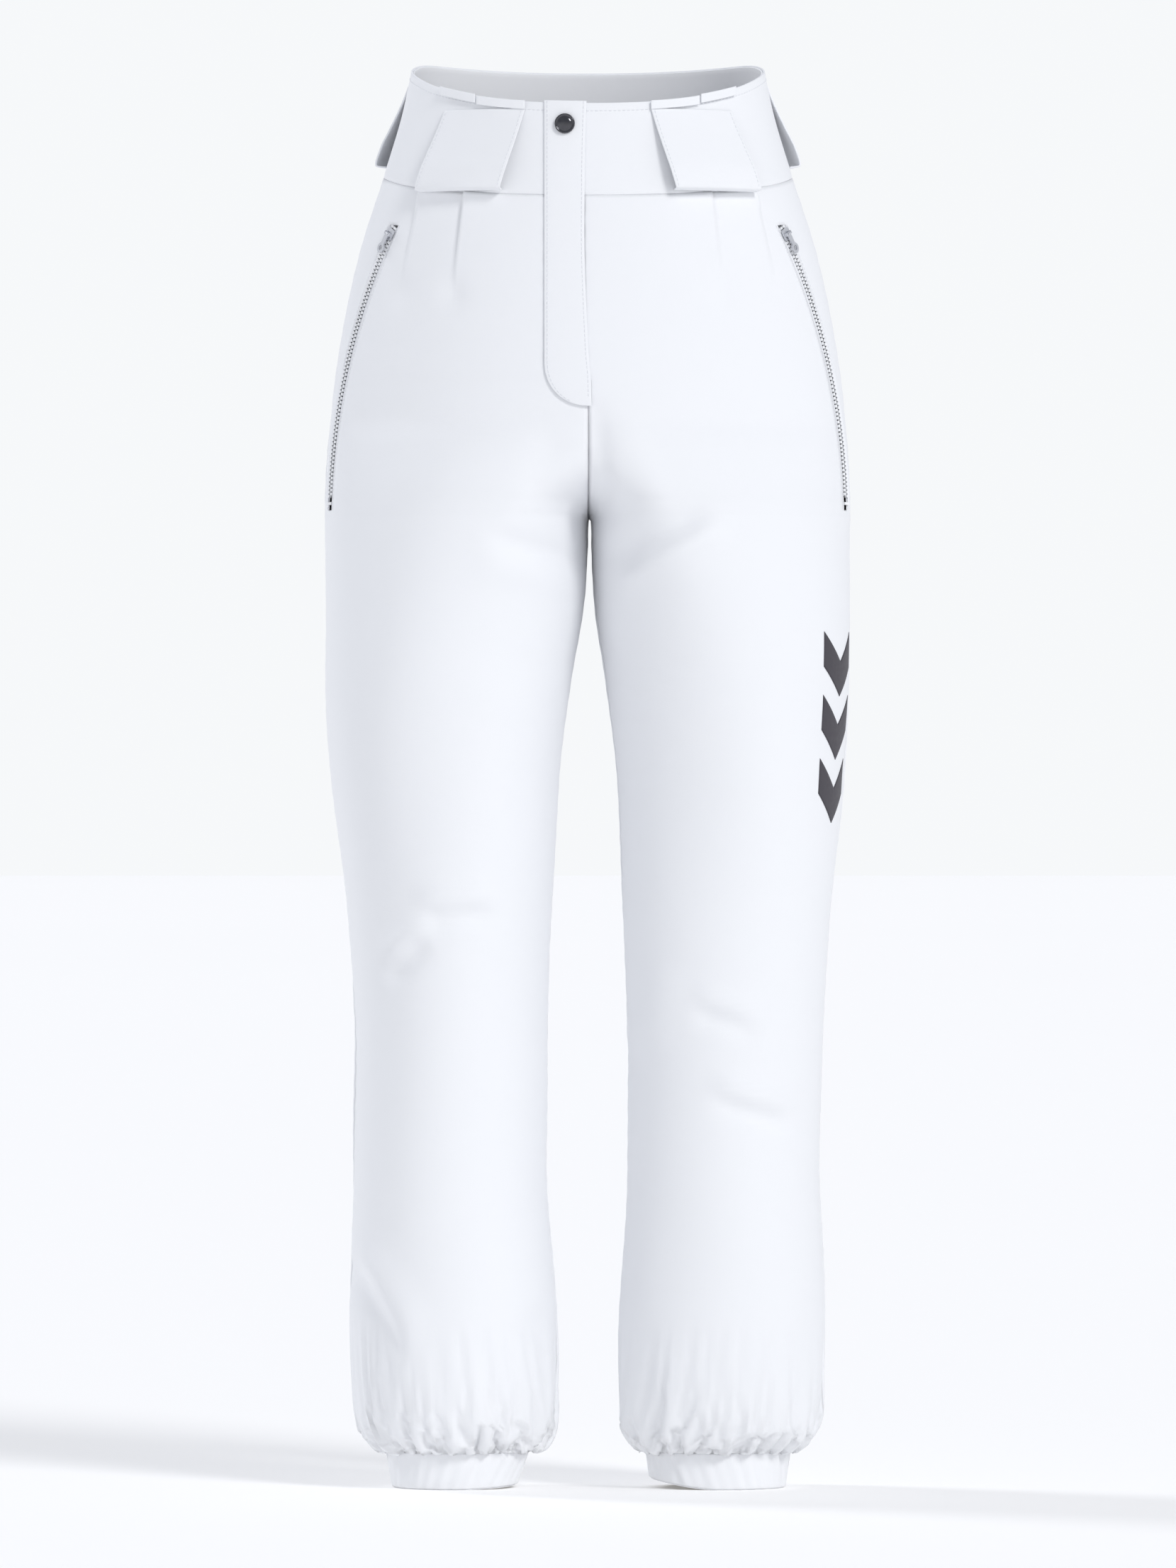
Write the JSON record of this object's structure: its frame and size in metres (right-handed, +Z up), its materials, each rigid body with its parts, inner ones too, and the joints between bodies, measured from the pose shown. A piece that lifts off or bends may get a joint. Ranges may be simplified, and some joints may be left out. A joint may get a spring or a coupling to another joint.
{
  "type": "ski pants",
  "caption": "High-waisted loose ski pants with a snapped zip fly, wide belt loops, zipped side pockets and gathered elastic cuffs.",
  "frame": {"origin": "centre of the waist opening, level with the front of its top edge", "axes": "+Z up towards the wearer's head, -Y towards the wearer's front, +X towards the wearer's left"},
  "size_m": [0.392, 0.2515, 1.0631],
  "materials": {
    "shell": "matt tightly woven white",
    "facing": "smooth white",
    "lining": "smooth light grey taffeta",
    "elastic": "woven elastic",
    "zip_tape": "woven tape",
    "zip_teeth": "moulded",
    "zip_metal": "pale silver lacquer",
    "snap_black": "glossy gunmetal",
    "snap_metal": "plain",
    "print": "matt charcoal heat-transfer film"
  },
  "bodies": {
    "root": {"back_panel_left": "shell", "back_panel_right": "shell", "belt_loop_back_left": "shell", "belt_loop_back_right": "shell", "belt_loop_front_left": "shell", "belt_loop_front_right": "shell", "cuff_elastic_left": "elastic", "cuff_elastic_right": "elastic", "cuff_left": "shell", "cuff_right": "shell", "fly_placket_end": "shell", "fly_underlap": "shell", "fly_zip_bottom_stop": "zip_teeth", "fly_zip_tape": "zip_tape", "fly_zip_teeth": "zip_teeth", "fly_zip_top_stops": "zip_teeth", "front_panel_left": "shell", "front_panel_right": "shell", "leg_print": "print", "lining_left": "lining", "lining_right": "lining", "pocket_bag_left": "lining", "pocket_bag_right": "lining", "pocket_zip_bottom_stop_left": "zip_teeth", "pocket_zip_bottom_stop_right": "zip_teeth", "pocket_zip_tape_left": "zip_tape", "pocket_zip_tape_right": "zip_tape", "pocket_zip_teeth_left": "zip_teeth", "pocket_zip_teeth_right": "zip_teeth", "pocket_zip_top_stops_left": "zip_teeth", "pocket_zip_top_stops_right": "zip_teeth", "snap_stud": "snap_metal", "waistband_back": "shell", "waistband_extension": "shell", "waistband_facing": "facing", "waistband_left": "shell", "waistband_right": "shell"},
    "fly_flap": {"fly_placket": "shell", "snap_cap": "snap_black", "snap_post": "snap_metal", "snap_socket": "snap_metal"},
    "fly_slider": {"fly_zip_slider": "zip_metal", "fly_zip_pull": "zip_metal"},
    "pocket_slider_left": {"pocket_zip_slider_left": "zip_metal"},
    "pocket_slider_right": {"pocket_zip_slider_right": "zip_metal"},
    "pocket_pull_left": {"pocket_zip_pull_left": "zip_metal"},
    "pocket_pull_right": {"pocket_zip_pull_right": "zip_metal"}
  },
  "joints": [
    {"name": "fly_flap_hinge", "type": "hinge", "parent": "root", "child": "fly_flap", "pos_m": [-0.0327, -0.09476, 0.00006], "axis": [0.0002, -0.1012, -0.9949], "range_deg": [0, 60]},
    {"name": "fly_zip_travel", "type": "slide", "parent": "root", "child": "fly_slider", "axis": [-0.0007, -0.0975, -0.9952], "range_m": [0, 0.128]},
    {"name": "pocket_zip_travel_left", "type": "hinge", "parent": "root", "child": "pocket_slider_left", "pos_m": [-0.11997, -0.27486, -0.28691], "axis": [-0.6255, 0.7783, -0.0555], "range_deg": [0, 28.9]},
    {"name": "pocket_zip_travel_right", "type": "hinge", "parent": "root", "child": "pocket_slider_right", "pos_m": [0.11997, -0.27486, -0.28691], "axis": [-0.6255, -0.7783, 0.0555], "range_deg": [0, 28.9]},
    {"name": "pocket_pull_left_hinge", "type": "hinge", "parent": "pocket_slider_left", "child": "pocket_pull_left", "pos_m": [0.14881, -0.04963, -0.09348], "axis": [-0.4613, -0.7663, -0.4471], "range_deg": [0, 165]},
    {"name": "pocket_pull_right_hinge", "type": "hinge", "parent": "pocket_slider_right", "child": "pocket_pull_right", "pos_m": [-0.14881, -0.04963, -0.09348], "axis": [-0.4613, 0.7663, 0.4471], "range_deg": [0, 165]}
  ]
}
